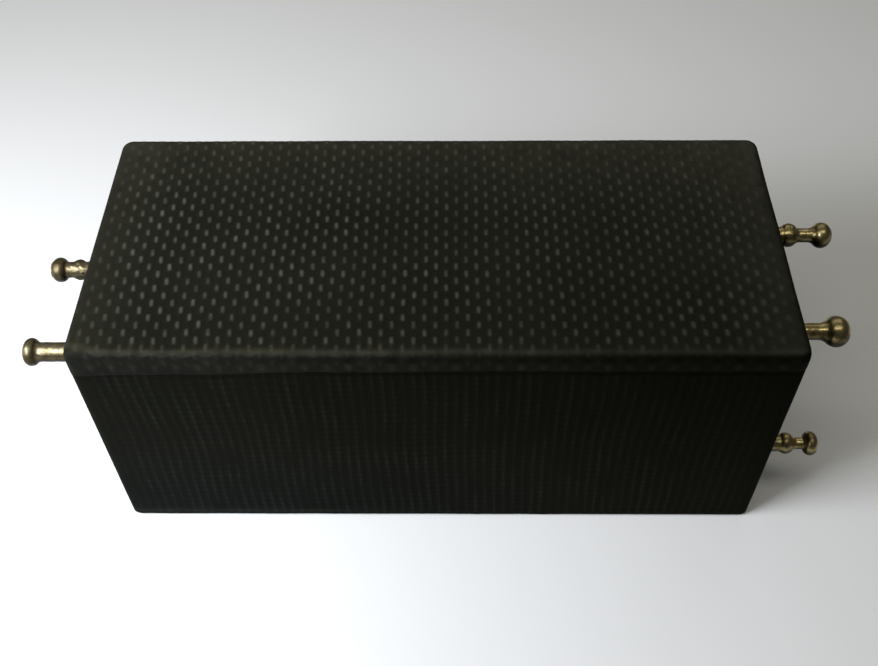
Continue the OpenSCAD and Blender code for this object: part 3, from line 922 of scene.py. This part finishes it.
def turned_brass(name, axis, look):
    """Tarnished brass for a terminal whose axis runs along X through a place."""
    # Handled brass: a warm streak of light on top, dull brown patches, and painted shade on the undersides.
    material, tree, shader = new_material(name)
    place = add(tree, "TexCoord", {}).outputs["Object"]
    tarnish = add(tree, "TexNoise", {"Vector": place, "Scale": 1 / TARNISH_SIZE, "Detail": 5.0,
                                     "Roughness": 0.65})
    tarnished = add(tree, "MapRange", {"Value": tarnish, "From Min": 0.36, "From Max": 0.66})
    handled = add(tree, "Mix", {0: tarnished, 6: linear(look["rubbed"]), 7: linear("#584B31")},
                  data_type="RGBA")
    centred = add(tree, "Mapping", {"Vector": place, "Location": (0, -axis.y, -axis.z)})
    across = add(tree, "VectorMath", {0: centred, 1: (0, 1, 1)}, operation="MULTIPLY")
    round_axis = add(tree, "VectorMath", {0: across}, operation="NORMALIZE")
    facing = add(tree, "SeparateXYZ", {0: round_axis})
    # Painted shade: the colour darkens towards the underside of the axis.
    below = add(tree, "MapRange", {"Value": facing.outputs[2], "From Min": UPPER_SIDE,
                                   "From Max": UNDERSIDE, "To Max": look["underside_shade"]})
    colour = add(tree, "Mix", {0: below, 6: handled.outputs[2], 7: linear("#1E180E")}, data_type="RGBA")
    tree.links.new(colour.outputs[2], shader.inputs["Base Color"])
    shader.inputs["Metallic"].default_value = 1.0
    roughness = add(tree, "MapRange", {"Value": tarnished, "To Min": look["smooth"], "To Max": look["rough"]})
    tree.links.new(roughness.outputs[0], shader.inputs["Roughness"])
    squeezed = add(tree, "Mapping", {"Vector": place, "Scale": (1 / TOOL_MARK, MARKS_ROUND, MARKS_ROUND)})
    marks = add(tree, "TexNoise", {"Vector": squeezed, "Scale": 1.0, "Detail": 2.0})
    dents = add(tree, "TexNoise", {"Vector": place, "Scale": 1 / DENT_SIZE, "Detail": 2.0})
    dented = add(tree, "Bump", {"Height": dents, "Strength": 0.35, "Distance": 0.08 * MM})
    bump = add(tree, "Bump", {"Height": marks, "Strength": 0.3, "Distance": 0.03 * MM, "Normal": dented})
    tree.links.new(bump.outputs[0], shader.inputs["Normal"])
    return material


print("Brass finishes:", ", ".join(BRASS))

# %% [markdown]
# ## Turned terminals
# The terminals were turned on a lathe, then pressed in, soldered to and cleaned many times, so no bead on
# them is quite round. A lathe profile is a radius for each place along the axis: a bead is a rim with a
# half-round edge, and a fillet leads from it down to the neck. A bead is given as its diameter, its length
# and how far its middle is from the resin's face, in millimetres. Worn is the share of a collar that is gone
# from its upper front side.

# %% Terminal profile
SHANK = 2.2
FLANGE = 3.6
FLANGE_DEEP = 0.5
BARREL = 2.35
COLLAR_FILLET = 0.7
TERMINALS = {
    "terminal_left_front": {"head": (3.7, 1.7, 8.0), "flare": 0.8, "neck": 2.6},
    "terminal_left_rear": {"head": (3.45, 2.05, 7.6), "flare": 0.4, "neck": 2.3,
                           "collar": (3.0, 2.1, 4.95), "worn": 0.8},
    "terminal_right_front": {"head": (4.15, 3.3, 7.5), "flare": 1.9, "neck": 2.25},
    "terminal_right_rear": {"head": (3.55, 2.45, 7.9), "flare": 1.2, "neck": 1.95,
                            "collar": (3.35, 2.4, 3.55), "worn": 0.4},
    "terminal_right_low": {"head": (3.45, 1.8, 7.85), "flare": 0.4, "neck": 1.7,
                           "collar": (3.15, 2.15, 4.5), "worn": 0.2},
}


def bead_radius(along, bead, neck, fillet):
    """Radius in mm, at a place along the axis, of a bead on a neck. Without a fillet, the bead alone."""
    across, length, middle = bead
    rim = length / 2
    core = across / 2 - rim
    off = abs(along - middle)
    if not fillet:
        return core + math.sqrt(max(0.0, rim * rim - off * off))
    runs_out = math.sqrt((rim + fillet) ** 2 - (neck / 2 + fillet - core) ** 2)
    if off < runs_out * rim / (rim + fillet):
        return core + math.sqrt(rim * rim - off * off)
    if off < runs_out:
        return neck / 2 + fillet - math.sqrt(fillet * fillet - (runs_out - off) ** 2)
    return neck / 2


def terminal_radius(along, shape, collar_left):
    """Radius in mm of a terminal at a place along its axis, with a share of its collar left."""
    flare = shape["flare"] if along < shape["head"][2] else 0
    head = bead_radius(along, shape["head"], shape["neck"], flare)
    if "collar" not in shape:
        return head
    inside = along < shape["collar"][2]
    neck = BARREL if inside else shape["neck"]
    collar = bead_radius(along, shape["collar"], neck, COLLAR_FILLET)
    return max(head, neck / 2 + collar_left * (collar - neck / 2))


for name, shape in TERMINALS.items():
    print(name, "is", round(2 * terminal_radius(shape["head"][2], shape, 1), 2), "mm across its head")

# %% [markdown]
# ## Spin the terminals
# The profile is spun about the axis, as a lathe would cut it. A Screw modifier could do that too, but the
# wear that comes next needs real vertices. The rings are close along the neck, and they bunch up over the
# round end.

# %% Spin a profile
RING_STEP = 0.06
ROUND_END = 14
SPIN_STEPS = 64
MERGE_WITHIN = 1e-5
TIP_INSIDE = 0.01


def lathe_profile(shape, inner_end):
    """A terminal's outline from its inner end to its tip: places along the axis and radii, in mm."""
    across, length, middle = shape["head"]
    tip = middle + length / 2 - TIP_INSIDE
    rows = round((middle - FLANGE_DEEP) / RING_STEP)
    steps = [FLANGE_DEEP + (middle - FLANGE_DEEP) * row / rows for row in range(rows)]
    turns = [math.pi / 2 * turn / ROUND_END for turn in range(ROUND_END)]
    steps += [middle + (tip - middle) * math.sin(turn) for turn in turns]
    shank = [(inner_end, 0), (inner_end, SHANK / 2), (0, SHANK / 2)]
    flange = [(0, FLANGE / 2), (FLANGE_DEEP, FLANGE / 2)]
    outside = [(step, terminal_radius(step, shape, 1)) for step in steps]
    return shank + flange + outside + [(tip, (across - length) / 2), (tip, 0)]


def spin_profile(profile):
    """A closed solid of revolution about X, in mm."""
    bm = bmesh.new()
    line = [bm.verts.new((along, radius, 0)) for along, radius in profile]
    edges = [bm.edges.new(pair) for pair in zip(line, line[1:])]
    bmesh.ops.spin(bm, geom=line + edges, axis=(1, 0, 0), cent=(0, 0, 0), angle=math.tau,
                   steps=SPIN_STEPS, use_merge=True)
    bmesh.ops.remove_doubles(bm, verts=bm.verts[:], dist=MERGE_WITHIN)
    return bm


print("Each ring has", SPIN_STEPS, "vertices")

# %% [markdown]
# ## Wear and place the terminals
# The collars are worn down on the side that looks up and forward, and noise pushes small dents in, so that
# the light breaks up along the metal. A bump map alone would leave the outlines perfectly round. Last, each
# terminal moves from the lathe's axis to its own place in the block's end.

# %% Wear and place the terminals
DENTS = {"left": 0.05, "right": 0.02}
DENT_EVERY = 0.5
RAGGED = 0.07
COLLAR_NEAR = (2.0, 0.8)
WORN_SIDE = Vector((0, -0.78, 0.62))
WORN_FACING = (-0.1, 0.8)
FLAT_TIP = 1e-3


def worn_radius(along, radius, out, place, shape, dent):
    """The radius that is left in mm, with the collar worn down and dents pushed in."""
    bumps = noise.noise(place / DENT_EVERY)
    if "collar" in shape:
        on_collar = smoothstep(*COLLAR_NEAR, abs(along - shape["collar"][2]))
        left = 1 - shape["worn"] * smoothstep(*WORN_FACING, out.dot(WORN_SIDE))
        radius = terminal_radius(along, shape, left)
        dent += RAGGED * on_collar
    return radius - dent * (0.5 + 0.5 * bumps)


face_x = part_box("resin_fill")[1].x / MM
for name, shape in TERMINALS.items():
    low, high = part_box(name)
    axis = (low + high) / 2
    way = math.copysign(1, axis.x)
    end = "left" if way < 0 else "right"
    flat = (shape["head"][0] - shape["head"][1]) / 2 + FLAT_TIP
    bm = spin_profile(lathe_profile(shape, min(abs(low.x), abs(high.x)) / MM - face_x))
    for vert in bm.verts:
        along = vert.co.x
        out = Vector((0, vert.co.y, vert.co.z))
        radius = out.length
        if along > FLANGE_DEEP and radius > flat:
            out /= radius
            place = Vector((way * along, out.y * radius, out.z * radius)) + axis / MM
            vert.co = Vector((along, 0, 0)) + out * worn_radius(along, radius, out, place, shape, DENTS[end])
        across = (vert.co.y + axis.y / MM, vert.co.z + axis.z / MM)
        vert.co = Vector((way * (face_x + vert.co.x), *across)) * MM
    shade_smooth(bm)
    brass = turned_brass(name.replace("terminal", "tarnished_turned_brass"), axis, BRASS[end])
    piece = finish_piece(bm, name.replace("terminal", "turned_terminal"), brass)
    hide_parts(name)

# %% [markdown]
# ## Mica sections
# The mica sections are stacks of flakes bonded into sheet. None of them shows in the closed block, but they
# are part of the object, so they get a finish too. A Voronoi texture splits the surface into cells of the
# size of a flake, and each cell has its own tone and gloss.

# %% Mica material
FLAKE_SIZE = 2.2 * MM

# Bonded mica: silvery brown flakes, some of them pearly.
mica, tree, shader = new_material("bonded_mica_flake")
place = add(tree, "TexCoord", {}).outputs["Object"]
flakes = add(tree, "TexVoronoi", {"Vector": place, "Scale": 1 / FLAKE_SIZE})
flake = add(tree, "SeparateColor", {0: flakes.outputs["Color"]})
colour = add(tree, "Mix", {0: flake.outputs[0], 6: linear("#8C7A54"), 7: linear("#C9BC9A")}, data_type="RGBA")
tree.links.new(colour.outputs[2], shader.inputs["Base Color"])
roughness = add(tree, "MapRange", {"Value": flake.outputs[1], "To Min": 0.25, "To Max": 0.5})
tree.links.new(roughness.outputs[0], shader.inputs["Roughness"])
print("Made", mica.name)

# %% [markdown]
# ## Copper links and leads
# The links and leads are thin copper strip, which was rolled, so fine lines run along it. A noise that is
# drawn out along X gives them. They are inside the block as well.

# %% Copper material
ROLL_MARK = 0.3 * MM
ROLL_LONG = 10 * MM

# Rolled copper: a warm red metal with a soft sheen along the strip.
copper, tree, shader = new_material("rolled_copper_strip")
place = add(tree, "TexCoord", {}).outputs["Object"]
drawn_out = add(tree, "Mapping", {"Vector": place, "Scale": (1 / ROLL_LONG, 1 / ROLL_MARK, 1 / ROLL_MARK)})
rolled = add(tree, "TexNoise", {"Vector": drawn_out, "Scale": 1.0, "Detail": 3.0})
colour = add(tree, "Mix", {0: rolled, 6: linear("#A8593A"), 7: linear("#D58C66")}, data_type="RGBA")
tree.links.new(colour.outputs[2], shader.inputs["Base Color"])
shader.inputs["Metallic"].default_value = 1.0
roughness = add(tree, "MapRange", {"Value": rolled, "To Min": 0.25, "To Max": 0.45})
tree.links.new(roughness.outputs[0], shader.inputs["Roughness"])
print("Made", copper.name)

# %% [markdown]
# ## Finish the CAD nodes
# A CAD node keeps its mesh, and only the material in its slots changes. The start of a node's name says what
# it is made of.

# %% Hand out the materials
finishes = {"resin": cast_epoxy, "mica": mica, "series": copper, "lead": copper}
finished = []
for name, node in nodes.items():
    kind = name.split("_")[0]
    if kind in finishes:
        finished.append(name)
        for material_slot in node.material_slots:
            material_slot.material = finishes[kind]
print("Finished:", len(finished), "CAD nodes")
